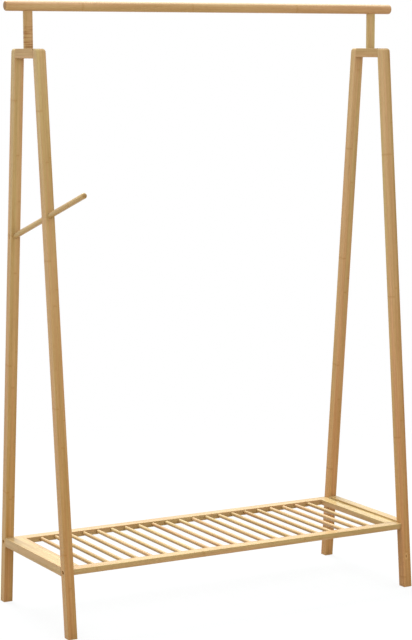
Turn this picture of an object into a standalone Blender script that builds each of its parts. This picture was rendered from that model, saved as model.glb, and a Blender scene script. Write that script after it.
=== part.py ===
"""Clothes rack of square and round bamboo: two A-frames of leaning legs, a round
hanging rail on two flat posts, a slatted shelf and one slanted side dowel.

Metres, +Z up. The rail runs along X, the front of the rack faces -Y, and the
origin is on the floor under the middle of the rack's bounding box.
"""

from math import atan, cos, pi, radians, sin, tan

import bmesh
import bpy
from mathutils import Vector

# Hanging rail: the overhang is from an A-frame's middle to the rail's end, and
# the rise from the legs' tops to the rail's axis
RAIL_LENGTH = 1.100
RAIL_DIAMETER = 0.025
RAIL_OVERHANG = 0.0593
RAIL_RISE = 0.101
RAIL_END_ROUND = 0.004

# A-frames: depths are measured over the outer faces of the front and rear legs,
# and a leg's top is rounded most on its outer edge, less on its sides
FOOT_DEPTH = 0.4175
TOP_DEPTH = 0.149
LEG_HEIGHT = 1.414
LEG_WIDTH = 0.024
LEG_THICKNESS = 0.0245
LEG_TOP_ROUND = 0.006
LEG_TOP_SIDE_ROUND = 0.003
EDGE_ROUND = 0.0015

# Bars between the legs of one A-frame, and the tenons that hold them
BLOCK_HEIGHT = 0.0235
STRETCHER_HEIGHT = 0.0235
TENON_WIDTH = 0.008
TENON_HEIGHT = 0.014
TENON_LENGTH = 0.019

# Flat posts that carry the rail
POST_WIDTH = 0.022
POST_THICKNESS = 0.010
POST_SEAT = 0.012

# Shelf: its height is that of the middle of its rails and of the stretchers, and
# the end gap is from the middle of the last slat to the end rail
SHELF_HEIGHT = 0.162
SHELF_SETBACK = 0.0035
SHELF_RAIL_WIDTH = 0.030
SHELF_RAIL_THICKNESS = 0.015
SHELF_TENON_WIDTH = 0.018
SHELF_TENON_HEIGHT = 0.006
SHELF_TENON_LENGTH = 0.010
SLAT_COUNT = 21
SLAT_END_GAP = 0.0434
SLAT_DIAMETER = 0.010
SLAT_SEAT = 0.012

# Side dowel in the left A-frame: its height is where its axis crosses the
# middle plane of the frame, and it rises towards the front
SIDE_DOWEL_DIAMETER = 0.014
SIDE_DOWEL_SLOPE = radians(17.4)
SIDE_DOWEL_HEIGHT = 0.986
SIDE_DOWEL_PROJECTION = 0.204
SIDE_DOWEL_SEAT = 0.018

# Bolts through the legs into barrel nuts in the shelf
BOLT_DIAMETER = 0.006
BOLT_LENGTH = 0.045
BOLT_HEAD_DIAMETER = 0.010
BOLT_HEAD_HEIGHT = 0.004
BOLT_SINK = 0.0015
BOLT_SOCKET = 0.005
NUT_DIAMETER = 0.010
NUT_LENGTH = 0.012
NUT_INSET = 0.022
NUT_SLOT = 0.0012

# Screws of the rail, the posts and the side dowel
SCREW_DIAMETER = 0.004
SCREW_HEAD_DIAMETER = 0.008
SCREW_HEAD_HEIGHT = 0.003
SCREW_SOCKET = 0.003
SCREW_SINK = 0.001
POST_SCREW_LENGTH = 0.030
RAIL_SCREW_LENGTH = 0.038
RAIL_SCREW_SINK = 0.002
SIDE_SCREW_LENGTH = 0.012
SIDE_SCREW_SINK = 0.0005

# Gap between neighbouring pieces, and how far a cutter runs out of its piece
FIT = 0.0003
OVERRUN = 0.010

# Facets of the round pieces
RAIL_SIDES = 40
SLAT_SIDES = 16
DOWEL_SIDES = 24
FASTENER_SIDES = 20
ROUND_STEPS = 3
EDGE_STEPS = 2
TIP_STEPS = 6

# Places that follow from the sizes above
LEAN = atan((FOOT_DEPTH - TOP_DEPTH) / 2 / LEG_HEIGHT)
LEG_RUN = LEG_THICKNESS / cos(LEAN)
FRAME_X = RAIL_LENGTH / 2 - RAIL_OVERHANG
RAIL_AXIS_HEIGHT = LEG_HEIGHT + RAIL_RISE
LEG_OUTER_X = FRAME_X + LEG_WIDTH / 2
BLOCK_BASE = LEG_HEIGHT - BLOCK_HEIGHT
SHELF_LENGTH = 2 * FRAME_X - LEG_WIDTH - 2 * FIT
SLAT_SPAN = SHELF_LENGTH - 2 * (SHELF_RAIL_WIDTH + SLAT_END_GAP)
SLAT_PITCH = SLAT_SPAN / (SLAT_COUNT - 1)
SADDLE_RADIUS = RAIL_DIAMETER / 2 + FIT


def outer_face(height):
    """Distance of the legs' outer faces from the middle plane, at a height."""
    return FOOT_DEPTH / 2 - tan(LEAN) * height


def inner_face(height):
    """Distance of the legs' inner faces from the middle plane, at a height."""
    return outer_face(height) - LEG_RUN


LEG_CENTRE_AT_SHELF = outer_face(SHELF_HEIGHT) - LEG_RUN / 2
SHELF_EDGE = outer_face(SHELF_HEIGHT) - SHELF_SETBACK
SHELF_INNER = SHELF_EDGE - SHELF_RAIL_WIDTH


def side_dowel_point(y):
    """Point of the side dowel's axis, at a distance from the middle plane."""
    return Vector((-FRAME_X, y, SIDE_DOWEL_HEIGHT - tan(SIDE_DOWEL_SLOPE) * y))


def side_dowel_crossing(offset, end):
    """Point where the side dowel meets a leg face whose foot is at end * offset."""
    level = offset - tan(LEAN) * SIDE_DOWEL_HEIGHT
    return side_dowel_point(end * level / (1 - end * tan(LEAN) * tan(SIDE_DOWEL_SLOPE)))


SIDE_DOWEL_AXIS = Vector((0, -cos(SIDE_DOWEL_SLOPE), sin(SIDE_DOWEL_SLOPE)))
SIDE_DOWEL_START = (side_dowel_crossing(FOOT_DEPTH / 2 - LEG_RUN, 1)
                    - SIDE_DOWEL_AXIS * SIDE_DOWEL_SEAT)
SIDE_DOWEL_EXIT = side_dowel_crossing(FOOT_DEPTH / 2, -1)
SIDE_DOWEL_LENGTH = (SIDE_DOWEL_EXIT - SIDE_DOWEL_START).length + SIDE_DOWEL_PROJECTION
SIDE_DOWEL_PEG = side_dowel_crossing(FOOT_DEPTH / 2 - LEG_RUN / 2, 1)

# The side dowel's tip is the front of the bounding box, the rear feet its back
TIP_CENTRE = SIDE_DOWEL_START + SIDE_DOWEL_AXIS * (SIDE_DOWEL_LENGTH - SIDE_DOWEL_DIAMETER / 2)
FRONT_REACH = SIDE_DOWEL_DIAMETER / 2 - TIP_CENTRE.y
ORIGIN_SHIFT = (FRONT_REACH - FOOT_DEPTH / 2) / 2

# Finishes: sRGB colour of 0 to 255, roughness, metallic
LEG_BAMBOO = ((188, 148, 104), 0.45, 0.0)
BAR_BAMBOO = ((184, 146, 102), 0.45, 0.0)
POST_BAMBOO = ((178, 140, 92), 0.45, 0.0)
RAIL_BAMBOO = ((184, 146, 94), 0.40, 0.0)
SHELF_BAMBOO = ((200, 164, 116), 0.45, 0.0)
SLAT_BAMBOO = ((206, 172, 124), 0.45, 0.0)
STEEL = ((150, 148, 142), 0.35, 1.0)

SIDES = {"left": -1, "right": 1}
ENDS = {"front": -1, "rear": 1}


def clear_scene():
    """Remove what the scene starts with."""
    for old in list(bpy.data.objects):
        bpy.data.objects.remove(old, do_unlink=True)


def make_collection(name):
    """Add a collection to the scene."""
    collection = bpy.data.collections.new(name)
    bpy.context.scene.collection.children.link(collection)
    return collection


clear_scene()
PARTS = make_collection("clothes_rack")
CUTTERS = make_collection("cutters")
ORIGIN = bpy.data.objects.new("rack_origin", None)
ORIGIN.location = (0, ORIGIN_SHIFT, 0)
PARTS.objects.link(ORIGIN)


def linear(level):
    """Linear light of one sRGB level."""
    share = level / 255
    return share / 12.92 if share <= 0.04045 else ((share + 0.055) / 1.055) ** 2.4


def paint(piece, finish):
    """Give a piece its own Principled material."""
    colour, roughness, metallic = finish
    material = bpy.data.materials.new(piece.name)
    material.use_nodes = True
    shader = material.node_tree.nodes["Principled BSDF"]
    shader.inputs["Base Color"].default_value = [linear(level) for level in colour] + [1.0]
    shader.inputs["Roughness"].default_value = roughness
    shader.inputs["Metallic"].default_value = metallic
    piece.data.materials.append(material)


def add_object(name, mesh, location, finish=None):
    """Place a mesh as a finished piece, or as a cutter when it has no finish."""
    piece = bpy.data.objects.new(name, mesh)
    piece.location = location
    piece.parent = ORIGIN
    if finish is None:
        piece.hide_render = True
        piece.display_type = "WIRE"
        CUTTERS.objects.link(piece)
        return piece
    PARTS.objects.link(piece)
    paint(piece, finish)
    return piece


def box(name, size, location, finish=None, reshape=None):
    """Box of a size around a location, its corners moved by an optional function."""
    work = bmesh.new()
    bmesh.ops.create_cube(work, size=1.0)
    bmesh.ops.scale(work, vec=Vector(size), verts=work.verts)
    if reshape:
        for corner in work.verts:
            reshape(corner.co)
    mesh = bpy.data.meshes.new(name)
    work.to_mesh(mesh)
    work.free()
    return add_object(name, mesh, location, finish)


def point_along(piece, direction):
    """Turn a piece so that its own Z axis points along a direction."""
    piece.rotation_mode = "QUATERNION"
    piece.rotation_quaternion = Vector((0, 0, 1)).rotation_difference(Vector(direction))


def rod(name, diameter, length, location, direction, sides, finish=None):
    """Plain cylinder around a location, along a direction."""
    work = bmesh.new()
    bmesh.ops.create_cone(work, cap_ends=True, segments=sides, radius1=diameter / 2,
                          radius2=diameter / 2, depth=length)
    mesh = bpy.data.meshes.new(name)
    work.to_mesh(mesh)
    work.free()
    mesh.shade_smooth()
    mesh.set_sharp_from_angle(angle=radians(40))
    piece = add_object(name, mesh, location, finish)
    point_along(piece, direction)
    return piece


def turned(name, profile, location, direction, sides, finish=None):
    """Turned piece: a profile of (radius, height) from the top down, spun about Z."""
    mesh = bpy.data.meshes.new(name)
    points = [(radius, 0, height) for radius, height in profile]
    mesh.from_pydata(points, [(i, i + 1) for i in range(len(points) - 1)], [])
    piece = add_object(name, mesh, location, finish)
    point_along(piece, direction)
    spin = piece.modifiers.new("spin", "SCREW")
    spin.angle = 2 * pi
    spin.steps = sides
    spin.render_steps = sides
    spin.use_merge_vertices = True
    spin.merge_threshold = 0.00001
    spin.use_smooth_shade = True
    return piece


def round_edges(piece, width, steps, share):
    """Round each edge by its share of a width, from a function of its two ends."""
    work = bmesh.new()
    work.from_mesh(piece.data)
    weights = work.edges.layers.float.new("bevel_weight_edge")
    for edge in work.edges:
        edge[weights] = share(*(corner.co for corner in edge.verts))
    work.to_mesh(piece.data)
    work.free()
    bevel = piece.modifiers.new("edges", "BEVEL")
    bevel.width = width
    bevel.segments = steps
    bevel.limit_method = "WEIGHT"


def round_long_edges(piece, axis):
    """Round the edges that run along an axis, and leave the shoulders sharp."""
    def share(first, second):
        span = second - first
        return 1.0 if abs(span[axis]) > span.length / 2 else 0.0

    round_edges(piece, EDGE_ROUND, EDGE_STEPS, share)


def combine(piece, other, operation):
    """Cut a piece with another solid, or join that solid to it."""
    step = piece.modifiers.new(other.name, "BOOLEAN")
    step.operation = operation
    step.solver = "EXACT"
    step.object = other


def cut(cutter, *pieces):
    """Cut the same hole into several pieces."""
    for piece in pieces:
        combine(piece, cutter, "DIFFERENCE")


def make_leg(side, end):
    """Square leg that leans inwards, cut level at the floor and at the top."""
    def lean(corner):
        corner.z += LEG_HEIGHT / 2
        corner.y -= ENDS[end] * tan(LEAN) * corner.z

    def share(first, second):
        if max(first.z, second.z) < LEG_HEIGHT / 2:
            return 0.0
        if min(first.z, second.z) < LEG_HEIGHT / 2:
            return EDGE_ROUND / LEG_TOP_ROUND
        if abs(first.y - second.y) > LEG_RUN / 2:
            return LEG_TOP_SIDE_ROUND / LEG_TOP_ROUND
        is_outer = ENDS[end] * first.y + tan(LEAN) * LEG_HEIGHT > 0
        return 1.0 if is_outer else EDGE_ROUND / LEG_TOP_ROUND

    foot = (SIDES[side] * FRAME_X, ENDS[end] * (FOOT_DEPTH - LEG_RUN) / 2, 0)
    leg = box(f"leg_{end}_{side}", (LEG_WIDTH, LEG_RUN, LEG_HEIGHT), foot, LEG_BAMBOO, lean)
    round_edges(leg, LEG_TOP_ROUND, ROUND_STEPS, share)
    return leg


def make_bar(name, side, middle, height, finish):
    """Bar between the legs of one A-frame, with a tenon at each slanted end."""
    def follow_legs(corner):
        reach = inner_face(middle + corner.z) - FIT
        corner.y = reach if corner.y > 0 else -reach

    centre = (SIDES[side] * FRAME_X, 0, middle)
    bar = box(name, (LEG_WIDTH, 1, height), centre, finish, follow_legs)
    round_long_edges(bar, 1)
    tenon_reach = 2 * (inner_face(middle) + TENON_LENGTH)
    tenons = box(f"{name}_tenons", (TENON_WIDTH, tenon_reach, TENON_HEIGHT), centre)
    combine(bar, tenons, "UNION")
    slot_size = (TENON_WIDTH + 2 * FIT, tenon_reach + 2 * FIT, TENON_HEIGHT + 2 * FIT)
    mortises = box(f"{name}_mortises", slot_size, centre)
    cut(mortises, LEGS["front", side], LEGS["rear", side])
    return bar


def make_post(side, block):
    """Flat post, let into the top block and hollowed on top to carry the rail."""
    base = LEG_HEIGHT - POST_SEAT
    height = RAIL_AXIS_HEIGHT - base - FIT
    x = SIDES[side] * FRAME_X
    centre = (x, 0, base + FIT + height / 2)
    post = box(f"rail_post_{side}", (POST_WIDTH, POST_THICKNESS, height), centre, POST_BAMBOO)
    round_long_edges(post, 2)
    saddle = rod(f"saddle_{side}", 2 * SADDLE_RADIUS, POST_WIDTH + 2 * OVERRUN,
                 (x, 0, RAIL_AXIS_HEIGHT), (1, 0, 0), RAIL_SIDES)
    cut(saddle, post)
    seat_height = POST_SEAT + OVERRUN
    seat = box(f"post_seat_{side}",
               (POST_WIDTH + 2 * FIT, POST_THICKNESS + 2 * FIT, seat_height),
               (x, 0, base + seat_height / 2))
    cut(seat, block)
    return post


def make_hanging_rail():
    """Round rail with softened ends."""
    def share(first, second):
        return 1.0 if abs(second.z - first.z) < RAIL_END_ROUND else 0.0

    rail = rod("hanging_rail", RAIL_DIAMETER, RAIL_LENGTH, (0, 0, RAIL_AXIS_HEIGHT),
               (1, 0, 0), RAIL_SIDES, RAIL_BAMBOO)
    round_edges(rail, RAIL_END_ROUND, ROUND_STEPS, share)
    return rail


def make_shelf_rail(end):
    """Long rail of the shelf, between the two A-frames."""
    centre = (0, ENDS[end] * (SHELF_EDGE - SHELF_RAIL_WIDTH / 2), SHELF_HEIGHT)
    size = (SHELF_LENGTH, SHELF_RAIL_WIDTH, SHELF_RAIL_THICKNESS)
    rail = box(f"shelf_rail_{end}", size, centre, SHELF_BAMBOO)
    round_long_edges(rail, 0)
    return rail


def make_shelf_end(side):
    """Short end rail of the shelf, tenoned into the two long rails."""
    centre = (SIDES[side] * (SHELF_LENGTH - SHELF_RAIL_WIDTH) / 2, 0, SHELF_HEIGHT)
    length = 2 * (SHELF_INNER - FIT)
    end_rail = box(f"shelf_end_{side}", (SHELF_RAIL_WIDTH, length, SHELF_RAIL_THICKNESS),
                   centre, SHELF_BAMBOO)
    round_long_edges(end_rail, 1)
    reach = 2 * (SHELF_INNER + SHELF_TENON_LENGTH)
    tenons = box(f"shelf_end_tenons_{side}", (SHELF_TENON_WIDTH, reach, SHELF_TENON_HEIGHT),
                 centre)
    combine(end_rail, tenons, "UNION")
    slots = box(f"shelf_end_mortises_{side}",
                (SHELF_TENON_WIDTH + 2 * FIT, reach + 2 * FIT, SHELF_TENON_HEIGHT + 2 * FIT),
                centre)
    cut(slots, *SHELF_RAILS.values())
    return end_rail


def make_slats():
    """Round slats from front to rear, each seated in both long rails."""
    reach = 2 * (SHELF_INNER + SLAT_SEAT)
    for number in range(SLAT_COUNT):
        x = number * SLAT_PITCH - SLAT_SPAN / 2
        centre = (x, 0, SHELF_HEIGHT)
        rod(f"shelf_slat_{number + 1:02d}", SLAT_DIAMETER, reach, centre, (0, 1, 0),
            SLAT_SIDES, SLAT_BAMBOO)
        seats = rod(f"slat_seats_{number + 1:02d}", SLAT_DIAMETER + 2 * FIT, reach + 2 * FIT,
                    centre, (0, 1, 0), SLAT_SIDES)
        cut(seats, *SHELF_RAILS.values())


def make_side_dowel():
    """Slanted dowel with a round tip, through the front leg and into the rear one."""
    radius = SIDE_DOWEL_DIAMETER / 2
    turns = [pi / 2 * step / TIP_STEPS for step in range(TIP_STEPS + 1)]
    tip = [(radius * sin(turn), SIDE_DOWEL_LENGTH - radius + radius * cos(turn))
           for turn in turns]
    dowel = turned("side_dowel", tip + [(radius, 0), (0, 0)], SIDE_DOWEL_START,
                   SIDE_DOWEL_AXIS, DOWEL_SIDES, RAIL_BAMBOO)
    bore_length = SIDE_DOWEL_LENGTH + FIT
    bore = rod("side_dowel_bore", SIDE_DOWEL_DIAMETER + 2 * FIT, bore_length,
               SIDE_DOWEL_START + SIDE_DOWEL_AXIS * (bore_length / 2 - FIT),
               SIDE_DOWEL_AXIS, DOWEL_SIDES)
    cut(bore, LEGS["front", "left"], LEGS["rear", "left"])
    return dowel


def make_fastener(name, seat, direction, sizes, *pieces):
    """Socket-head bolt or screw, its head's seat at a point and its head facing a
    direction, with its stepped hole cut into the pieces that it passes."""
    diameter, length, head_diameter, head_height, socket = sizes
    radius = diameter / 2
    head = head_diameter / 2
    fastener = turned(name, [(0, head_height), (head, head_height), (head, 0), (radius, 0),
                             (radius, -length), (0, -length)],
                      seat, direction, FASTENER_SIDES, STEEL)
    middle = Vector(seat) + Vector(direction) * head_height
    hexagon = rod(f"{name}_socket", socket / cos(pi / 6), head_height, middle, direction, 6)
    cut(hexagon, fastener)
    mouth = head_height + OVERRUN
    hole = turned(f"{name}_hole", [(0, mouth), (head + FIT, mouth), (head + FIT, -FIT),
                                   (radius + FIT, -FIT), (radius + FIT, -length - FIT),
                                   (0, -length - FIT)],
                  seat, direction, FASTENER_SIDES)
    cut(hole, *pieces)
    return fastener


def make_barrel_nut(name, end, x):
    """Cross nut that a shelf bolt draws on, seated from below."""
    y = ENDS[end] * LEG_CENTRE_AT_SHELF
    nut = rod(name, NUT_DIAMETER, NUT_LENGTH, (x, y, SHELF_HEIGHT), (0, 0, 1),
              FASTENER_SIDES, STEEL)
    slot = box(f"{name}_slot", (NUT_DIAMETER + OVERRUN, NUT_SLOT, NUT_SLOT),
               (x, y, SHELF_HEIGHT - NUT_LENGTH / 2))
    cut(slot, nut)
    depth = NUT_LENGTH + FIT + OVERRUN
    seat = rod(f"{name}_seat", NUT_DIAMETER + 2 * FIT, depth,
               (x, y, SHELF_HEIGHT + NUT_LENGTH / 2 + FIT - depth / 2), (0, 0, 1),
               FASTENER_SIDES)
    cut(seat, SHELF_RAILS[end])
    return nut


def bolt_shelf(side, end):
    """Bolt through a leg and the stretcher's tenon into the end of a shelf rail."""
    sign = SIDES[side]
    nut_x = sign * (SHELF_LENGTH / 2 - NUT_INSET)
    nut = make_barrel_nut(f"barrel_nut_{end}_{side}", end, nut_x)
    seat = (sign * (LEG_OUTER_X - BOLT_SINK - BOLT_HEAD_HEIGHT),
            ENDS[end] * LEG_CENTRE_AT_SHELF, SHELF_HEIGHT)
    sizes = (BOLT_DIAMETER, BOLT_LENGTH, BOLT_HEAD_DIAMETER, BOLT_HEAD_HEIGHT, BOLT_SOCKET)
    make_fastener(f"shelf_bolt_{end}_{side}", seat, (sign, 0, 0), sizes,
                  LEGS[end, side], STRETCHERS[side], SHELF_RAILS[end], nut)


def screw_sizes(length):
    """Sizes of a wood screw of a length."""
    return (SCREW_DIAMETER, length, SCREW_HEAD_DIAMETER, SCREW_HEAD_HEIGHT, SCREW_SOCKET)


def screw_post(side, post, block, rail):
    """Screw a post to its block from below, and the rail to the post from above."""
    x = SIDES[side] * FRAME_X
    below = BLOCK_BASE + SCREW_SINK + SCREW_HEAD_HEIGHT
    make_fastener(f"post_screw_{side}", (x, 0, below), (0, 0, -1),
                  screw_sizes(POST_SCREW_LENGTH), block, post)
    above = RAIL_AXIS_HEIGHT + RAIL_DIAMETER / 2 - RAIL_SCREW_SINK - SCREW_HEAD_HEIGHT
    make_fastener(f"rail_screw_{side}", (x, 0, above), (0, 0, 1),
                  screw_sizes(RAIL_SCREW_LENGTH), rail, post)


def screw_side_dowel(dowel):
    """Screw through the rear leg's outer side into the side dowel."""
    seat = Vector(SIDE_DOWEL_PEG)
    seat.x = -(LEG_OUTER_X - SIDE_SCREW_SINK - SCREW_HEAD_HEIGHT)
    make_fastener("side_dowel_screw", seat, (-1, 0, 0), screw_sizes(SIDE_SCREW_LENGTH),
                  LEGS["rear", "left"], dowel)


LEGS = {(end, side): make_leg(side, end) for side in SIDES for end in ENDS}
STRETCHERS = {side: make_bar(f"stretcher_{side}", side, SHELF_HEIGHT, STRETCHER_HEIGHT,
                             BAR_BAMBOO) for side in SIDES}
BLOCKS = {side: make_bar(f"top_block_{side}", side, BLOCK_BASE + BLOCK_HEIGHT / 2,
                         BLOCK_HEIGHT, BAR_BAMBOO) for side in SIDES}
SHELF_RAILS = {end: make_shelf_rail(end) for end in ENDS}
HANGING_RAIL = make_hanging_rail()
for each_side in SIDES:
    make_shelf_end(each_side)
    each_post = make_post(each_side, BLOCKS[each_side])
    screw_post(each_side, each_post, BLOCKS[each_side], HANGING_RAIL)
    for each_end in ENDS:
        bolt_shelf(each_side, each_end)
make_slats()
screw_side_dowel(make_side_dowel())
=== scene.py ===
"""Looks of the clothes rack: laminated bamboo with its strips, fibres and nodes, steel
fasteners with threads, and a plain pale studio with the photograph's camera."""

from math import cos, pi, radians, sin, sqrt

import bmesh
import bpy
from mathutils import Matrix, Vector


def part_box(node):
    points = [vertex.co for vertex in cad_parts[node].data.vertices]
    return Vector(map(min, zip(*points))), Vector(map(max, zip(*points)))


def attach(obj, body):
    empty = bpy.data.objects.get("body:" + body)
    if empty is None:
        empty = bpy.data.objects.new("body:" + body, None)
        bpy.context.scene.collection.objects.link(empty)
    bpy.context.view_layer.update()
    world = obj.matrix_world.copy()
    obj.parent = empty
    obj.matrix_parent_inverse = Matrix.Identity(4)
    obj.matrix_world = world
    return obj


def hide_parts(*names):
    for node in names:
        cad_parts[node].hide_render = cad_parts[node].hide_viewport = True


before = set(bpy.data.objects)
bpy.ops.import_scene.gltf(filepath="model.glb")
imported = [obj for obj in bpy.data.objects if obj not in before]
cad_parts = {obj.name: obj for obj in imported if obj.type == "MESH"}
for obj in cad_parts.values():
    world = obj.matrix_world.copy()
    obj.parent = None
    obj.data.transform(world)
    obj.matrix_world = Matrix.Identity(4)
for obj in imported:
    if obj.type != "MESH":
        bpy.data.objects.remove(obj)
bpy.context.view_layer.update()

# Words in the nodes' names, the ends with their direction along Y, and the axes
SIDES = ("left", "right")
ENDS = {"front": -1, "rear": 1}
X_AXIS = (1, 0, 0)
Y_AXIS = (0, 1, 0)
Z_AXIS = (0, 0, 1)

# Camera: its place from the middle of the A-frames, its aim, and the photograph's frame
IMAGE_WIDTH = 412
IMAGE_HEIGHT = 640
CAMERA_PLACE = (-2.5046, -4.5353, 1.4238)
CAMERA_YAW = radians(29.82)
CAMERA_PITCH = radians(9.296)
FOCAL_PIXELS = 2031.1
CENTRE_PIXEL = (240.0, 376.9)
SENSOR = 36.0

# Light: the white that shows, and what the world lights the object with; the soft
# lights from above, with their strength, direction, spread and colour, and how far off
# they stand; and the softbox, with its power, place, aim, size and colour
WHITE = (1, 1, 1, 1)
WORLD_LIGHT = 0.78
WORLD_COLOUR = (0.96, 1.0, 0.93, 1)
OVERHEAD = (("light_behind", 4.5, (0.0, 0.75, 1.0), radians(30), (0.91, 1.0, 1.03)),
            ("light_right", 1.5, (0.7, 0.0, 1.0), radians(50), (0.94, 1.0, 1.06)))
OVERHEAD_DISTANCE = 4.0
SOFTBOX = (19.0, (-2.2, -2.1, 2.5), (-0.3, 0.0, 0.9), 1.6, (1.0, 1.0, 1.0))

# Floor: its size, the light it throws back, and its paper, which takes the shadow. A
# glow covers a share of the paper near the rack, and more of it between two radii,
# until it covers it all
FLOOR_SIZE = 60.0
FLOOR_BOUNCE = (0.35, 0.28, 0.21, 1)
FLOOR_PAPER = (0.60, 0.60, 0.60, 1)
FLOOR_GLOW = 0.89
SHADOW_REACH = (1.1, 2.4)

# Widths of the strips in metres. The last one makes a whole piece one strip
LAMINATE = 0.0082
WIDE_LAMINATE = 0.0126
WHOLE = 0.5

# How unlike a piece's strips are. The legs' seeds are chosen so that light and dark
# strips lie much as in the photograph
UNEVEN = 0.15
LEG_UNEVEN = 0.30
LEG_SEEDS = {
    "leg_front_left": 197.0,
    "leg_front_right": 7.0,
    "leg_rear_left": 183.0,
    "leg_rear_right": 10.0,
}

# How much lighter, and how much greener, some pieces are than the rest
LOOKS = {
    "leg_rear_right": (0.12, 0.0),
    "leg_rear_left": (0.13, 0.06),
    "leg_front_left": (0.01, 0.04),
    "leg_front_right": (0.06, 0.0),
    "rail_post_left": (0.0, 0.02),
    "rail_post_right": (0.18, 0.05),
    "top_block_left": (-0.14, 0.06),
    "hanging_rail": (0.06, -0.17),
    "stretcher": (0.0, 0.08),
    "shelf_end": (0.04, 0.12),
    "shelf_rail": (-0.05, 0.05),
    "shelf_slat": (-0.17, 0.05),
    "side_dowel": (0.02, 0.10),
}

# Nodes of the culm: how far apart they are, the least share of this in a strip, what a
# strip's chance can add to that share, and how wavy they are
NODE_SPACING = 0.34
LEAST_SPACING = 0.85
SPACING_CHANCE = 0.3
NODE_WAVE = 0.003

# Fibres: how far along the culm a strip may start, and how far its fibres wander
# sideways and in depth
START_CHANCE = 9.0
FIBRE_DRIFT = 0.0016
FIBRE_SINK = -0.0012

# Knots, by their place along and across a piece's front face, and a place off every
# piece; how little lengths along the fibres count in a knot, which makes it long; and
# how far it pushes the fibres aside
KNOTS = {"leg_front_right": (-0.629, -0.002)}
NO_KNOT = (9.0, 9.0)
KNOT_STRETCH = 0.50
KNOT_PUSH = 0.6

# Noise: its scale per metre along, across and into the strips, its detail and its
# roughness. On steel, turning leaves rings around an axis, and stains lie anywhere
NOISES = {
    "wander": ((5.0, 60.0, 60.0), 1.0, 0.5),
    "node_wave": ((2.0, 90.0, 90.0), 1.0, 0.5),
    "fine": ((16.0, 2600.0, 2600.0), 1.0, 0.5),
    "streak": ((5.0, 480.0, 480.0), 3.0, 0.6),
    "broad": ((4.0, 150.0, 150.0), 2.0, 0.5),
    "hue": ((1.6, 70.0, 70.0), 1.0, 0.5),
    "dash": ((55.0, 2300.0, 2300.0), 0.0, 0.5),
    "band": ((190.0, 16.0, 16.0), 1.5, 0.6),
    "wear": ((14.0, 200.0, 200.0), 2.0, 0.5),
    "turning": ((6000.0, 1.0, 1.0), 2.0, 0.5),
    "stain": ((500.0, 500.0, 500.0), 3.0, 0.5),
}

# Where each mark begins and where it is full, in metres, as a level of its noise, or as
# a share of facing one way. Two more numbers are its least and its most
EDGES = {
    "seam": (0.00025, 0.00005),
    "node": (0.0010, 0.0002),
    "halo": (0.0055, 0.0006),
    "dash": (0.66, 0.76),
    "green": (0.20, 0.80),
    "knot_core": (0.0026, 0.0014),
    "knot_disc": (0.0052, 0.0034),
    "knot_bend": (0.014, 0.003),
    "knot_depth": (0.004, -0.004),
    "foot": (0.75, -0.75),
    "band": (0.44, 0.60),
    "band_fade": (0.036, -0.010, 0.05, 1.0),
    "edge": (0.995, 0.90),
    "wear": (0.25, 0.75, 0.10, 0.50),
    "rub": (0.50, 0.95),
    "pore": (0.42, 0.22),
    "steel_roughness": (0.3, 0.7, 0.26, 0.42),
}

# The wood's tone, roughness and height, and how much each mark adds to them
BASE_TONE = -0.23
TONE_SHARES = {"streak": 0.52, "broad": 0.75, "fine": 0.16}
BASE_ROUGHNESS = 0.33
ROUGHNESS_SHARES = {"fine": 0.14, "halo": 0.08}
BASE_HEIGHT = 0.2
HEIGHT_SHARES = {"fine": 0.45, "streak": 0.35, "dash": -0.35, "halo": 0.30, "seam": -0.50}

# Worn edges: how wide they are, how many samples find them, and what they add to the
# roughness; they are paler partly from wear and partly as a painted highlight. And the
# painted highlight that makes the tops of the rail and of the slats pale
EDGE_WEAR = 0.0022
WEAR_SAMPLES = 6
WEAR_ROUGHNESS = -0.08
RAIL_TOP_HIGHLIGHT = 0.50
SLAT_TOP_HIGHLIGHT = 0.15

# Cut ends: how far a face is turned towards the fibres' ends where they begin, on most
# pieces and on a round tip, and where they are full; how strongly they and their pores
# show, and how much rougher they are; and how many fibre bundles there are in a metre
END_FROM = 0.88
TIP_END_FROM = 0.35
END_FULL = 0.985
END_SHARE = 0.80
END_ROUGHNESS = 0.25
PORE_SHARE = 0.75
BUNDLES = 1100.0

# Lacquer and bumps of the bamboo, and the fine rings that turning leaves on steel
SPECULAR = 0.05
COAT_IOR = 1.13
COAT_ROUGHNESS = 0.12
GRAIN_BUMP = 0.00013
GRAIN_STRENGTH = 0.55
TURNING_BUMP = 0.00003
TURNING_STRENGTH = 0.5

# Legs: their thickness and how deep a level cut through them is, which the frame's
# boxes don't give, and the rounding of their tops, with the places of its cuts as
# shares of it
LEG_THICKNESS = 0.0245
LEG_RUN = 0.02461
LEG_TOP_ROUND = 0.0062
LEG_TOP_SIDE_ROUND = 0.0055
TOP_CUTS = (0.0, 0.05, 0.17, 0.34, 0.54, 0.76, 1.0)

# Meshes: how much longer square pieces are at each end, the angle from which an edge is
# sharp, and how near to each other corners are welded
JOINT_GAP = 0.00025
SHARP_ANGLE = radians(35)
WELD = 0.00001

# Slats, and the slanted dowel with its round tip
SLAT_CHAMFER = 0.0006
SLAT_SIDES = 28
SIDE_DOWEL_SLOPE = radians(17.4)
DOWEL_SIDES = 40
TIP_STEPS = 12
TIP_END = radians(86)

# Fasteners: the diameter of the shank, the diameter and height of the head, the width
# of the socket, the pitch, and whether it is pointed; and the direction that each kind's
# head faces, which is outwards where it is X
BOLT = {"size": 0.006, "head": 0.010, "height": 0.004, "socket": 0.005, "pitch": 0.001,
        "pointed": False}
SCREW = {"size": 0.004, "head": 0.008, "height": 0.003, "socket": 0.003, "pitch": 0.0018,
         "pointed": True}
FASTENERS = {
    "shelf_bolt": (X_AXIS, BOLT),
    "barrel_nut": (Z_AXIS, None),
    "post_screw": ((0, 0, -1), SCREW),
    "rail_screw": (Z_AXIS, SCREW),
    "side_dowel_screw": (X_AXIS, SCREW),
}
FASTENER_SIDES = 24

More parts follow.
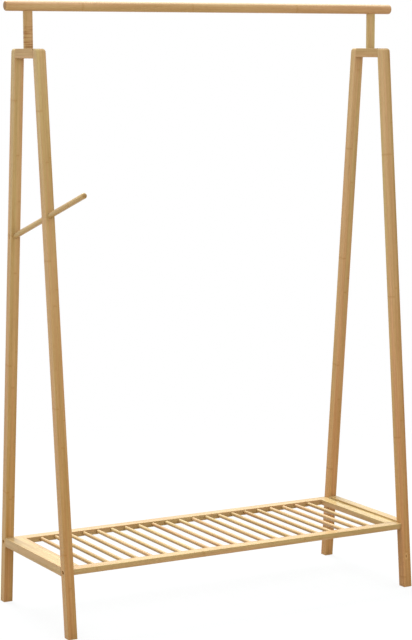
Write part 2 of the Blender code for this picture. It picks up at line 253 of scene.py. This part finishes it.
# Threads: their depth in pitches, their steps to a pitch, and their share of the shank
THREAD_DEPTH = 0.55
THREAD_STEPS = 4
THREADED_SHARE = 0.7

# Points of screws and blunt ends of bolts: how long they are, and how wide their tips
# are, as shares of the shank's diameter
POINT_LENGTH = 1.2
POINT_TIP = 0.1
BLUNT_LENGTH = 0.15
BLUNT_TIP = 0.6

# Heads: their rounded rim, as a share of their height or radius, and their broken
# edges; and their sockets' mouth, depth and floor, as shares of width and height
CROWN = 0.4
CROWN_STEPS = 4
BROKEN_EDGE = 0.0002
SOCKET_MOUTH = 1.22
SOCKET_DEPTH = 0.5
SOCKET_FLOOR = 0.5


def linear(red, green, blue):
    """Linear colour of an sRGB one of 0 to 255."""
    shares = [level / 255 for level in (red, green, blue)]
    return tuple(share / 12.92 if share <= 0.04045 else ((share + 0.055) / 1.055) ** 2.4
                 for share in shares) + (1.0,)


DARK_BAMBOO = linear(170, 132, 92)
MID_BAMBOO = linear(190, 156, 119)
LIGHT_BAMBOO = linear(199, 168, 133)
PALE_BAMBOO = linear(211, 182, 147)
WARM_TINT = linear(255, 241, 232)
GREEN_TINT = linear(246, 255, 230)
# Painted shade that darkens and warms the legs towards the floor
PAINTED_FOOT_SHADE = linear(248, 228, 206)
DASH_BAMBOO = linear(158, 112, 64)
NODE_BAMBOO = linear(134, 92, 52)
HALO_BAMBOO = linear(182, 140, 84)
BAND_BAMBOO = linear(150, 100, 60)
SEAM_BAMBOO = linear(140, 100, 58)
# Paler edges, partly wear and partly a painted highlight, and a knot's pale ring
WORN_HIGHLIT_EDGE_AND_KNOT_RING_BAMBOO = linear(232, 202, 156)
# Painted highlight on the tops of the rail and the slats
TOP_HIGHLIGHT_BAMBOO = linear(239, 217, 181)
END_BAMBOO = linear(150, 114, 72)
PORE_BAMBOO = linear(96, 64, 36)
STEEL = linear(212, 172, 116)
DARK_STEEL = linear(176, 134, 84)

# Colours of the wood and the steel by their tone
WOOD_TONES = ((0.18, DARK_BAMBOO), (0.42, MID_BAMBOO), (0.62, LIGHT_BAMBOO),
              (0.86, PALE_BAMBOO))
STEEL_TONES = ((0.30, DARK_STEEL), (0.70, STEEL))

# Marks over the wood, from the lowest up, with how strongly each shows and its colour.
# The last two are a knot's pale ring and its dark core
MARK_COLOURS = {
    "dash": (0.45, DASH_BAMBOO),
    "halo": (0.30, HALO_BAMBOO),
    "node": (0.26, NODE_BAMBOO),
    "seam": (0.55, SEAM_BAMBOO),
    "ring": (0.45, WORN_HIGHLIT_EDGE_AND_KNOT_RING_BAMBOO),
    "core": (0.70, NODE_BAMBOO),
}
BAND_SHARE = 0.85

# What the bamboo's node group takes and gives
GROUP_INPUTS = {
    "Grain": "Vector",
    "Strip": "Float",
    "Spacing": "Float",
    "Seed": "Float",
    "Tone": "Float",
    "Green": "Float",
    "Uneven": "Float",
    "Bands": "Float",
    "Foot": "Float",
    "Knot": "Vector",
}
GROUP_OUTPUTS = {"Color": "Color", "Roughness": "Float", "Height": "Float"}


def set_inputs(tree, node, inputs):
    """Set a node's inputs to values, or link them to sockets."""
    for key, value in inputs.items():
        if isinstance(value, bpy.types.NodeSocket):
            tree.links.new(value, node.inputs[key])
        else:
            node.inputs[key].default_value = value


def add_node(tree, kind, inputs=None, **settings):
    """Add a shader node, its inputs given as values or as sockets to link."""
    new = tree.nodes.new(kind)
    for name, value in settings.items():
        setattr(new, name, value)
    set_inputs(tree, new, inputs or {})
    return new


def calculate(tree, operation, first, second=0.0, third=0.0):
    """Socket with the result of one sum on numbers."""
    inputs = {0: first, 1: second, 2: third}
    return add_node(tree, "ShaderNodeMath", inputs, operation=operation).outputs[0]


def minus(tree, first, second):
    """Socket with the difference of two numbers."""
    return calculate(tree, "SUBTRACT", first, second)


def times(tree, first, second):
    """Socket with the product of two numbers."""
    return calculate(tree, "MULTIPLY", first, second)


def add_share(tree, base, value, share):
    """Socket with a number and a share of another, added up."""
    return calculate(tree, "MULTIPLY_ADD", value, share, base)


def add_shares(tree, base, marks, shares):
    """Socket with a number and the shares of several marks, added up."""
    for name, share in shares.items():
        base = add_share(tree, base, marks[name], share)
    return base


def combine(tree, first, second=0.0, third=0.0):
    """Socket with a vector of three numbers."""
    inputs = {0: first, 1: second, 2: third}
    return add_node(tree, "ShaderNodeCombineXYZ", inputs).outputs[0]


def split(tree, vector):
    """Sockets with the three numbers of a vector."""
    return add_node(tree, "ShaderNodeSeparateXYZ", {0: vector}).outputs


def calculate_vector(tree, operation, first, second=(0, 0, 0)):
    """Socket with the result of one sum on vectors: a vector, or a number."""
    new = add_node(tree, "ShaderNodeVectorMath", {0: first, 1: second}, operation=operation)
    return new.outputs["Value" if operation in ("DOT_PRODUCT", "LENGTH") else "Vector"]


def rescale(tree, value, low, high, to_low=0.0, to_high=1.0):
    """Socket with a value's smooth rise between two limits."""
    inputs = {"Value": value, "From Min": low, "From Max": high,
              "To Min": to_low, "To Max": to_high}
    return add_node(tree, "ShaderNodeMapRange", inputs,
                    interpolation_type="SMOOTHSTEP").outputs[0]


def show(tree, mark, value):
    """Socket with how far a mark shows, from a value that its edges are given for."""
    return rescale(tree, value, *EDGES[mark])


def mix_colours(tree, share, first, second, mode="MIX"):
    """Socket with a share of the second colour over the first."""
    inputs = {0: share, 6: first, 7: second}
    return add_node(tree, "ShaderNodeMix", inputs, data_type="RGBA",
                    blend_type=mode).outputs[2]


def noise(tree, place, kind):
    """Socket with one kind of noise at a place."""
    scales, detail, roughness = NOISES[kind]
    stretched = calculate_vector(tree, "MULTIPLY", place, scales)
    inputs = {"Vector": stretched, "Scale": 1.0, "Detail": detail, "Roughness": roughness}
    return add_node(tree, "ShaderNodeTexNoise", inputs).outputs[0]


def colour_ramp(tree, value, stops):
    """Socket with the colour of a value, from pairs of a place and a colour."""
    ramp = add_node(tree, "ShaderNodeValToRGB", {0: value})
    elements = ramp.color_ramp.elements
    while len(elements) < len(stops):
        elements.new(0.5)
    for element, (place, colour) in zip(elements, stops):
        element.position = place
        element.color = colour
    return ramp.outputs[0]


def bamboo_strips(tree, across, given):
    """Sockets with the chances of the strip at a place, and with the seams."""
    in_strips = calculate(tree, "ADD", calculate(tree, "DIVIDE", across, given["Strip"]), 0.5)
    key = combine(tree, calculate(tree, "FLOOR", in_strips), given["Seed"])
    chance = add_node(tree, "ShaderNodeTexWhiteNoise", {0: key}, noise_dimensions="2D")
    chances = add_node(tree, "ShaderNodeSeparateColor", {0: chance.outputs["Color"]}).outputs
    off_centre = calculate(tree, "ABSOLUTE",
                           minus(tree, calculate(tree, "FRACT", in_strips), 0.5))
    from_seam = times(tree, minus(tree, 0.5, off_centre), given["Strip"])
    return chances, show(tree, "seam", from_seam)


def bamboo_knot(tree, along, across, deep, given):
    """Sockets with a knot's core and the ring around it in the front face, and with the
    place across the strips, bent so that the fibres run around the knot."""
    knot = split(tree, given["Knot"])
    beside = minus(tree, across, knot[1])
    lengthways = times(tree, minus(tree, along, knot[0]), KNOT_STRETCH)
    away = calculate_vector(tree, "LENGTH", combine(tree, lengthways, beside))
    shallow = show(tree, "knot_depth", deep)
    core, disc, bend = (times(tree, show(tree, mark, away), shallow)
                        for mark in ("knot_core", "knot_disc", "knot_bend"))
    push = times(tree, times(tree, beside, bend), KNOT_PUSH)
    return core, minus(tree, disc, core), minus(tree, across, push)


def bamboo_nodes(tree, start, straight, chance, given):
    """Sockets with the thin line of a culm's nodes and the halo around it. How far apart
    the nodes are differs from strip to strip."""
    spacing = calculate(tree, "MULTIPLY_ADD", chance, SPACING_CHANCE, LEAST_SPACING)
    pitch = times(tree, given["Spacing"], spacing)
    share = calculate(tree, "FRACT", calculate(tree, "DIVIDE", start, pitch))
    offset = times(tree, minus(tree, share, 0.5), pitch)
    middle = minus(tree, offset, NODE_WAVE / 2)
    level = add_share(tree, middle, noise(tree, straight, "node_wave"), NODE_WAVE)
    distance = calculate(tree, "ABSOLUTE", level)
    return show(tree, "node", distance), show(tree, "halo", distance)


def wood_colour(tree, tone, place, green):
    """Socket with the wood's colour at a tone, warmer at some places and greener at
    others."""
    hue = calculate(tree, "ADD", noise(tree, place, "hue"), green)
    tint = mix_colours(tree, show(tree, "green", hue), WARM_TINT, GREEN_TINT)
    return mix_colours(tree, 1.0, colour_ramp(tree, tone, WOOD_TONES), tint, "MULTIPLY")


def make_bamboo_group():
    """Colour, roughness and height of laminated bamboo, from a place in its grain:
    metres along the fibres, across the strips and into their depth."""
    tree = bpy.data.node_groups.new("bamboo", "ShaderNodeTree")
    for sockets, direction in ((GROUP_INPUTS, "INPUT"), (GROUP_OUTPUTS, "OUTPUT")):
        for name, kind in sockets.items():
            tree.interface.new_socket(name, in_out=direction, socket_type="NodeSocket" + kind)
    given = tree.nodes.new("NodeGroupInput").outputs
    along, across, deep = split(tree, given["Grain"])
    marks = {}
    chances, marks["seam"] = bamboo_strips(tree, across, given)
    marks["core"], marks["ring"], across = bamboo_knot(tree, along, across, deep, given)

    # Fibres, which start elsewhere in each strip and wander a little
    start = add_share(tree, along, chances[0], START_CHANCE)
    straight = combine(tree, start, across, deep)
    wander = noise(tree, straight, "wander")
    drift = add_share(tree, across, wander, FIBRE_DRIFT)
    sink = add_share(tree, deep, wander, FIBRE_SINK)
    place = combine(tree, start, drift, sink)
    marks["node"], marks["halo"] = bamboo_nodes(tree, start, straight, chances[1], given)
    for mark in ("fine", "streak", "broad"):
        marks[mark] = noise(tree, place, mark)
    marks["dash"] = show(tree, "dash", noise(tree, place, "dash"))

    # Colour, in strips that are unlike each other
    tone = add_shares(tree, BASE_TONE, marks, TONE_SHARES)
    tone = add_share(tree, tone, minus(tree, chances[2], 0.5), given["Uneven"])
    tone = calculate(tree, "ADD", tone, given["Tone"])
    wood = wood_colour(tree, tone, place, given["Green"])
    for mark, (share, colour) in MARK_COLOURS.items():
        wood = mix_colours(tree, times(tree, marks[mark], share), wood, colour)

    # Painted shade: legs are darker and warmer towards the floor, standing in for less light
    # lower down
    foot = times(tree, show(tree, "foot", along), given["Foot"])
    wood = mix_colours(tree, foot, wood, PAINTED_FOOT_SHADE, "MULTIPLY")

    # Compressed bands across the fibres, as near the root of a culm
    layers = show(tree, "band", noise(tree, place, "band"))
    fade = times(tree, show(tree, "band_fade", along), given["Bands"])
    band = times(tree, times(tree, layers, fade), BAND_SHARE)
    wood = mix_colours(tree, band, wood, BAND_BAMBOO)

    add_node(tree, "NodeGroupOutput", {
        "Color": wood,
        "Roughness": add_shares(tree, BASE_ROUGHNESS, marks, ROUGHNESS_SHARES),
        "Height": add_shares(tree, BASE_HEIGHT, marks, HEIGHT_SHARES)})
    return tree


BAMBOO = make_bamboo_group()


def start_material(name):
    """A new material, its node tree and its shader."""
    material = bpy.data.materials.new(name)
    material.use_nodes = True
    return material, material.node_tree, material.node_tree.nodes["Principled BSDF"]


def worn_and_highlit_edges(tree, grain):
    """Socket with how worn a place is. Edges are handled most, some parts more than
    others, so they are smoother, and paler partly from wear and partly as a painted highlight."""
    rounded = add_node(tree, "ShaderNodeBevel", {"Radius": EDGE_WEAR}, samples=WEAR_SAMPLES)
    plain = add_node(tree, "ShaderNodeNewGeometry")
    match = calculate_vector(tree, "DOT_PRODUCT", rounded.outputs[0], plain.outputs["Normal"])
    patches = show(tree, "wear", noise(tree, grain, "wear"))
    return times(tree, show(tree, "edge", match), patches)


def paint_top_highlight(tree, colour, normal, rub):
    """Socket with a colour painted pale on faces that look upwards: a painted highlight."""
    upward = split(tree, normal)[2]
    return mix_colours(tree, times(tree, show(tree, "rub", upward), rub), colour,
                       TOP_HIGHLIGHT_BAMBOO)


def end_colour(tree, grain):
    """Socket with the darker colour of a cut end, with the dots of the fibre bundles."""
    flat = calculate_vector(tree, "MULTIPLY", grain, (0.0, 1.0, 1.0))
    bundles = add_node(tree, "ShaderNodeTexVoronoi", {"Vector": flat, "Scale": BUNDLES})
    pores = show(tree, "pore", bundles.outputs["Distance"])
    return mix_colours(tree, times(tree, pores, PORE_SHARE), END_BAMBOO, PORE_BAMBOO)


def make_bamboo(name, origin, along, across, settings, end_from, rub):
    """Bamboo whose fibres run along a direction, with strips side by side across it.
    Faces that are turned this far towards the fibres' ends begin to show cut ends, and
    tops are painted pale by this much, as a painted highlight."""
    material, tree, shader = start_material(name)
    around = add_node(tree, "ShaderNodeTexCoord").outputs
    place = calculate_vector(tree, "SUBTRACT", around["Object"], origin)
    axes = (Vector(along), Vector(across), Vector(along).cross(Vector(across)))
    grain = combine(tree, *[calculate_vector(tree, "DOT_PRODUCT", place, axis)
                            for axis in axes])
    wood = add_node(tree, "ShaderNodeGroup", node_tree=BAMBOO)
    set_inputs(tree, wood, {"Grain": grain, **settings})

    # Worn edges are paler, partly from wear and partly as a painted highlight
    worn = worn_and_highlit_edges(tree, grain)
    colour = mix_colours(tree, worn, wood.outputs["Color"], WORN_HIGHLIT_EDGE_AND_KNOT_RING_BAMBOO)
    # Painted highlight: tops that face upwards are painted paler
    if rub:
        colour = paint_top_highlight(tree, colour, around["Normal"], rub)
    facing = calculate_vector(tree, "DOT_PRODUCT", around["Normal"], axes[0])
    cut_end = rescale(tree, calculate(tree, "ABSOLUTE", facing), end_from, END_FULL)
    colour = mix_colours(tree, times(tree, cut_end, END_SHARE), colour,
                         end_colour(tree, grain))

    rough = add_share(tree, wood.outputs["Roughness"], worn, WEAR_ROUGHNESS)
    rough = add_share(tree, rough, cut_end, END_ROUGHNESS)
    bump = add_node(tree, "ShaderNodeBump", {
        "Height": wood.outputs["Height"], "Distance": GRAIN_BUMP, "Strength": GRAIN_STRENGTH})
    set_inputs(tree, shader, {
        "Base Color": colour, "Roughness": rough, "Normal": bump.outputs[0],
        "Specular IOR Level": SPECULAR, "Coat Weight": 1.0, "Coat IOR": COAT_IOR,
        "Coat Roughness": COAT_ROUGHNESS})
    return material


def bamboo_for(node, name, along, across, strip, end_from=END_FROM, rub=0.0, **settings):
    """Bamboo of a node's own, its strips counted from the node's middle."""
    low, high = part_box(node)
    tone, green = next((LOOKS[word] for word in LOOKS if node.startswith(word)), (0, 0))
    settings = {"Strip": strip, "Spacing": NODE_SPACING, "Tone": tone, "Green": green,
                "Seed": 1.0 + sorted(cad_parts).index(node), "Uneven": UNEVEN,
                "Knot": (*KNOTS.get(node, NO_KNOT), 0.0), **settings}
    return make_bamboo(name, (low + high) / 2, along, across, settings, end_from, rub)


def make_steel(name, centre, axis):
    """Bright steel with fine rings around an axis, as turning leaves them."""
    material, tree, shader = start_material(name)
    place = add_node(tree, "ShaderNodeTexCoord").outputs["Object"]
    away = calculate_vector(tree, "SUBTRACT", place, centre)
    sideways = calculate_vector(tree, "CROSS_PRODUCT", away, axis)
    radius = combine(tree, calculate_vector(tree, "LENGTH", sideways))
    rings = noise(tree, radius, "turning")
    mottle = times(tree, calculate(tree, "ADD", rings, noise(tree, place, "stain")), 0.5)
    bump = add_node(tree, "ShaderNodeBump", {
        "Height": rings, "Distance": TURNING_BUMP, "Strength": TURNING_STRENGTH})
    set_inputs(tree, shader, {
        "Base Color": colour_ramp(tree, mottle, STEEL_TONES), "Metallic": 1.0,
        "Roughness": show(tree, "steel_roughness", mottle), "Normal": bump.outputs[0]})
    return material


def add_object(name, data):
    """Put a new object in the scene."""
    added = bpy.data.objects.new(name, data)
    bpy.context.scene.collection.objects.link(added)
    return added


def add_piece(name, work, material, slot, *nodes):
    """Make a piece of the root body from a bmesh, to stand for CAD nodes."""
    bmesh.ops.recalc_face_normals(work, faces=work.faces)
    mesh = bpy.data.meshes.new(name)
    work.to_mesh(mesh)
    work.free()
    mesh.shade_smooth()
    mesh.set_sharp_from_angle(angle=SHARP_ANGLE)
    piece = add_object(name, mesh)
    weighted = piece.modifiers.new("flat faces stay flat", "WEIGHTED_NORMAL")
    weighted.keep_sharp = True
    piece.data.materials.append(material)
    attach(piece, "root")
    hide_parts(*nodes)


def weld(node):
    """Welded copy of a CAD node's mesh, whose bevels and rounds can be shaded smooth."""
    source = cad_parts[node].data
    work = bmesh.new()
    corners = [work.verts.new(vertex.co) for vertex in source.vertices]
    for polygon in source.polygons:
        work.faces.new([corners[index] for index in polygon.vertices])
    bmesh.ops.remove_doubles(work, verts=work.verts, dist=WELD)
    return work


def turn(start, direction, profile, sides):
    """Solid turned on an axis. The profile is a list of places along the axis, each
    with a radius, or with a function from an angle to the radius. Its ends are closed."""
    work = bmesh.new()
    to_place = Vector(direction).to_track_quat("Z", "Y").to_matrix()
    rings = []
    for along, radius in profile:
        ring = []
        for number in range(sides):
            angle = 2 * pi * number / sides
            reach = radius(angle) if callable(radius) else radius
            corner = Vector((reach * cos(angle), reach * sin(angle), along))
            ring.append(work.verts.new(Vector(start) + to_place @ corner))
        rings.append(ring)
    for lower, upper in zip(rings, rings[1:]):
        for number in range(sides):
            other = (number + 1) % sides
            work.faces.new((lower[number], lower[other], upper[other], upper[number]))
    work.faces.new(rings[0])
    work.faces.new(rings[-1])
    return work


def arc(centre, radius, first, last, steps):
    """Part of a profile that follows a circle, from one angle to another."""
    angles = [first + (last - first) * step / steps for step in range(steps + 1)]
    return [(centre[0] + radius * sin(angle), centre[1] + radius * cos(angle))
            for angle in angles]


def leg_direction(node, end):
    """Direction of a leg's fibres, from the foot to the top."""
    low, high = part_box(node)
    return Vector((0, -end * (high.y - low.y - LEG_THICKNESS), high.z - low.z)).normalized()


def cut(work, faces, place, normal):
    """Cut some faces along a plane."""
    edges = {edge for face in faces for edge in face.edges}
    corners = {corner for face in faces for corner in face.verts}
    bmesh.ops.bisect_plane(work, geom=[*faces, *edges, *corners], dist=WELD,
                           plane_co=place, plane_no=normal)


def soften(distance, depth, radius):
    """Move a point near a square edge onto a round one, by its distances from the
    edge's two faces."""
    inner = Vector((distance - radius, depth - radius))
    if inner.x >= 0 or inner.y >= 0 or inner.length <= radius:
        return distance, depth
    inner *= radius / inner.length
    return inner.x + radius, inner.y + radius


def round_leg_top(work, node, end):
    """Round a leg's top over its outer face and its two sides. Cuts give it the corners
    that are then moved onto the rounds."""
    low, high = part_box(node)
    middle = (low.x + high.x) / 2
    half = (high.x - low.x) / 2
    lean = (high.y - low.y - LEG_RUN) / (high.z - low.z)
    outer = Vector((middle, high.y - LEG_RUN if end < 0 else low.y + LEG_RUN, high.z))
    outward = Vector((0, end, lean)).normalized()
    cuts = [(Vector((0, 0, high.z - LEG_TOP_ROUND)), Z_AXIS)]
    for share in TOP_CUTS:
        cuts.append((Vector((0, 0, high.z - share * LEG_TOP_ROUND)), Z_AXIS))
        cuts.append((outer - outward * share * LEG_TOP_ROUND, outward))
        for side in (-1, 1):
            place = middle + side * (half - share * LEG_TOP_SIDE_ROUND)
            cuts.append((Vector((place, 0, 0)), X_AXIS))
    base = high.z - LEG_TOP_ROUND - LEG_TOP_SIDE_ROUND
    reach = base - WELD
    cut(work, list(work.faces), Vector((0, 0, base)), Z_AXIS)
    for place, normal in cuts:
        faces = [face for face in work.faces if all(v.co.z > reach for v in face.verts)]
        cut(work, faces, place, normal)
    for corner in work.verts:
        if corner.co.z < reach:
            continue
        face_y = outer.y + end * lean * (high.z - corner.co.z)
        distance, depth = soften(end * (face_y - corner.co.y), high.z - corner.co.z,
                                 LEG_TOP_ROUND)
        gone = max(0.0, LEG_TOP_ROUND - distance)
        dip = LEG_TOP_ROUND - sqrt(LEG_TOP_ROUND ** 2 - gone ** 2)
        aside, below = soften(half - abs(corner.co.x - middle), depth - dip,
                              LEG_TOP_SIDE_ROUND)
        side = 1 if corner.co.x > middle else -1
        corner.co.x = middle + side * (half - aside)
        corner.co.z = high.z - dip - below
        corner.co.y = outer.y + end * lean * (dip + below) - end * distance


def dress_legs():
    """Dress the legs, their tops rounded."""
    for side in SIDES:
        for name, end in ENDS.items():
            node = f"leg_{name}_{side}"
            work = weld(node)
            round_leg_top(work, node, end)
            # Their bamboo takes painted shade towards the floor
            material = bamboo_for(node, f"{name}_{side}_leg", leg_direction(node, end),
                                  X_AXIS, LAMINATE, Foot=1.0, Uneven=LEG_UNEVEN,
                                  Seed=LEG_SEEDS[node])
            add_piece(f"{name}_{side}_leg", work, material, "bamboo", node)


def dress_plank(node, name, along, across, strip=LAMINATE, gap=JOINT_GAP, **settings):
    """Dress a square piece, or one with cuts in it, in bamboo. It is longer than the
    solid by a gap at each end, so that none shows at its joints."""
    material = bamboo_for(node, name, along, across, strip, **settings)
    work = weld(node)
    low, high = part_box(node)
    middle = (low + high) / 2
    axis = Vector(along)
    reach = (high - low).dot(axis) / 2
    for corner in work.verts:
        share = (corner.co - middle).dot(axis) / reach
        corner.co += axis * share * gap
    add_piece(name, work, material, "bamboo", node)


def dress_planks():
    """Dress the blocks, posts, hanging rail, stretchers and shelf frame."""
    for side in SIDES:
        dress_plank(f"top_block_{side}", f"{side}_top_block", Y_AXIS, Z_AXIS)
        dress_plank(f"stretcher_{side}", f"{side}_stretcher", Y_AXIS, Z_AXIS)
        dress_plank(f"shelf_end_{side}", f"{side}_shelf_end", Y_AXIS, X_AXIS)
    dress_plank("rail_post_left", "left_rail_post", Z_AXIS, Y_AXIS, WHOLE, Bands=1.0)
    dress_plank("rail_post_right", "right_rail_post", Z_AXIS, Y_AXIS)
    # The rail's top takes a painted highlight
    dress_plank("hanging_rail", "top_rail", X_AXIS, Y_AXIS, WIDE_LAMINATE, gap=0.0,
                rub=RAIL_TOP_HIGHLIGHT)
    for end in ENDS:
        dress_plank(f"shelf_rail_{end}", f"{end}_shelf_rail", X_AXIS, Y_AXIS)


def dress_slats():
    """Turn the round slats, with a small chamfer at each end."""
    nodes = sorted(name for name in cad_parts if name.startswith("shelf_slat"))
    for number, node in enumerate(nodes, 1):
        low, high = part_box(node)
        middle = (low + high) / 2
        length = high.y - low.y
        radius = (high.z - low.z) / 2
        profile = [(0, radius - SLAT_CHAMFER), (SLAT_CHAMFER, radius),
                   (length / 2, radius), (length - SLAT_CHAMFER, radius),
                   (length, radius - SLAT_CHAMFER)]
        name = f"slat_{number:02d}"
        # Their tops take a painted highlight
        material = bamboo_for(node, name, Y_AXIS, X_AXIS, WHOLE, rub=SLAT_TOP_HIGHLIGHT)
        work = turn((middle.x, low.y, middle.z), Y_AXIS, profile, SLAT_SIDES)
        add_piece(name, work, material, "bamboo", node)


def dress_side_dowel():
    """Turn the slanted dowel, with its round tip."""
    low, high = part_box("side_dowel")
    radius = (high.x - low.x) / 2
    middle = (low.x + high.x) / 2
    tip = Vector((middle, low.y + radius, high.z - radius))
    base = Vector((middle, high.y - radius * sin(SIDE_DOWEL_SLOPE),
                   low.z + radius * cos(SIDE_DOWEL_SLOPE)))
    direction = (tip - base).normalized()
    length = (tip - base).length
    profile = [(0, radius - SLAT_CHAMFER), (SLAT_CHAMFER, radius), (length / 2, radius)]
    profile += arc((length, 0), radius, 0, TIP_END, TIP_STEPS)
    material = bamboo_for("side_dowel", "slanted_dowel", direction, X_AXIS, LAMINATE,
                          TIP_END_FROM)
    work = turn(base, direction, profile, DOWEL_SIDES)
    add_piece("slanted_dowel", work, material, "bamboo", "side_dowel")


def fastener_profile(length, size, head, height, socket, pitch, pointed):
    """Profile of a fastener from the bottom of its socket, at places measured from the
    seat of its head. A wood screw has a pointed end, a bolt a blunt one."""
    flat = socket / 2

    def hexagon(angle):
        return flat / cos((angle + pi / 6) % (pi / 3) - pi / 6)

    def thread(along, taper):
        def radius(angle):
            ridge = abs(2 * ((along / pitch + angle / (2 * pi)) % 1) - 1)
            return taper * (size / 2 - THREAD_DEPTH * pitch * ridge)
        return radius

    floor = height * SOCKET_DEPTH
    crown = min(height, head / 2) * CROWN
    profile = [(floor, flat * SOCKET_FLOOR), (floor, hexagon),
               (height - BROKEN_EDGE, hexagon), (height, flat * SOCKET_MOUTH)]
    profile += arc((height - crown, head / 2 - crown), crown, pi / 2, 0, CROWN_STEPS)
    profile += [(BROKEN_EDGE, head / 2), (0, head / 2 - BROKEN_EDGE), (0, size / 2)]
    threaded = length * THREADED_SHARE
    profile.append((threaded - length, size / 2))
    steps = int(threaded / pitch * THREAD_STEPS)
    end = size * (POINT_LENGTH if pointed else BLUNT_LENGTH)
    tip = POINT_TIP if pointed else BLUNT_TIP
    for step in range(1, steps + 1):
        along = threaded - length - threaded * step / steps
        taper = min(1.0, (along + length) / end * (1 - tip) + tip)
        profile.append((along, thread(along, taper)))
    return profile


def dress_fasteners():
    """Bolts and screws with sockets and threads, and the barrel nuts, in steel."""
    words = ("bolt", "nut", "screw")
    for node in sorted(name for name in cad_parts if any(w in name for w in words)):
        low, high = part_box(node)
        middle = (low + high) / 2
        axis, kind = FASTENERS[next(word for word in FASTENERS if node.startswith(word))]
        if axis == X_AXIS and middle.x < 0:
            axis = (-1, 0, 0)
        name = f"steel_{node}"
        material = make_steel(name, middle, axis)
        if kind is None:
            add_piece(name, weld(node), material, "steel", node)
            continue
        outward = Vector(axis)
        whole = abs((high - low).dot(outward))
        seat = middle + outward * whole / 2 - outward * kind["height"]
        profile = fastener_profile(whole - kind["height"], **kind)
        work = turn(seat, axis, profile, FASTENER_SIDES)
        add_piece(name, work, material, "steel", node)


def add_camera():
    """The photograph's camera."""
    middle = (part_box("leg_front_left")[0].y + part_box("leg_rear_left")[1].y) / 2
    data = bpy.data.cameras.new("camera")
    data.sensor_width = SENSOR
    data.lens = FOCAL_PIXELS / IMAGE_HEIGHT * SENSOR
    data.shift_x = (IMAGE_WIDTH / 2 - CENTRE_PIXEL[0]) / IMAGE_HEIGHT
    data.shift_y = (CENTRE_PIXEL[1] - IMAGE_HEIGHT / 2) / IMAGE_HEIGHT
    camera = add_object("camera", data)
    camera.location = Vector(CAMERA_PLACE) + Vector((0, middle, 0))
    camera.rotation_euler = (pi / 2 - CAMERA_PITCH, 0, -CAMERA_YAW)
    bpy.context.scene.camera = camera


def seen_directly(tree):
    """Socket that is 1 for rays that show the background, and 0 for its light."""
    rays = add_node(tree, "ShaderNodeLightPath").outputs
    shown = calculate(tree, "MAXIMUM", rays["Is Camera Ray"], rays["Is Glossy Ray"])
    return calculate(tree, "MAXIMUM", shown, rays["Is Transmission Ray"])


def add_world():
    """White surroundings that light the object a little less than they show."""
    world = bpy.data.worlds.new("studio")
    world.use_nodes = True
    tree = world.node_tree
    light = tree.nodes["Background"]
    set_inputs(tree, light, {"Color": WORLD_COLOUR, "Strength": WORLD_LIGHT})
    shown = add_node(tree, "ShaderNodeBackground", {"Color": WHITE})
    both = add_node(tree, "ShaderNodeMixShader",
                    {0: seen_directly(tree), 1: light.outputs[0], 2: shown.outputs[0]})
    set_inputs(tree, tree.nodes["World Output"], {"Surface": both.outputs[0]})
    bpy.context.scene.world = world


def add_lights():
    """Soft lights from above, and a wide lamp at the left that the camera doesn't see."""
    for name, strength, direction, spread, colour in OVERHEAD:
        data = bpy.data.lights.new(name, "SUN")
        data.energy = strength
        data.angle = spread
        data.color = colour
        light = add_object(name, data)
        light.location = Vector(direction) * OVERHEAD_DISTANCE
        light.rotation_euler = Vector(direction).to_track_quat("Z", "Y").to_euler()
    power, place, aim, size, colour = SOFTBOX
    data = bpy.data.lights.new("softbox", "AREA")
    data.energy = power
    data.size = size
    data.color = colour
    softbox = add_object("softbox", data)
    softbox.location = place
    softbox.rotation_euler = (Vector(place) - Vector(aim)).to_track_quat("Z", "Y").to_euler()
    softbox.visible_camera = False


def make_floor_material():
    """White that keeps a faint shadow, and throws less light back than it shows."""
    material, tree, shader = start_material("white_floor")
    tree.nodes.remove(shader)
    paper = add_node(tree, "ShaderNodeBsdfDiffuse", {"Color": FLOOR_PAPER}).outputs[0]
    glow = add_node(tree, "ShaderNodeEmission", {"Color": WHITE}).outputs[0]
    place = add_node(tree, "ShaderNodeTexCoord").outputs["Object"]
    radius = calculate_vector(tree, "LENGTH", place)
    share = rescale(tree, radius, *SHADOW_REACH, FLOOR_GLOW, 1.0)
    shown = add_node(tree, "ShaderNodeMixShader", {0: share, 1: paper, 2: glow}).outputs[0]
    bounce = add_node(tree, "ShaderNodeBsdfDiffuse", {"Color": FLOOR_BOUNCE}).outputs[0]
    both = add_node(tree, "ShaderNodeMixShader", {0: seen_directly(tree), 1: bounce, 2: shown})
    set_inputs(tree, tree.nodes["Material Output"], {"Surface": both.outputs[0]})
    return material


def add_floor():
    """A wide level floor under the rack."""
    mesh = bpy.data.meshes.new("floor")
    work = bmesh.new()
    bmesh.ops.create_grid(work, x_segments=1, y_segments=1, size=FLOOR_SIZE / 2)
    work.to_mesh(mesh)
    work.free()
    floor = add_object("floor", mesh)
    floor.data.materials.append(make_floor_material())


bpy.context.scene.view_settings.view_transform = "Standard"
dress_legs()
dress_planks()
dress_slats()
dress_side_dowel()
dress_fasteners()
add_camera()
add_world()
add_lights()
add_floor()
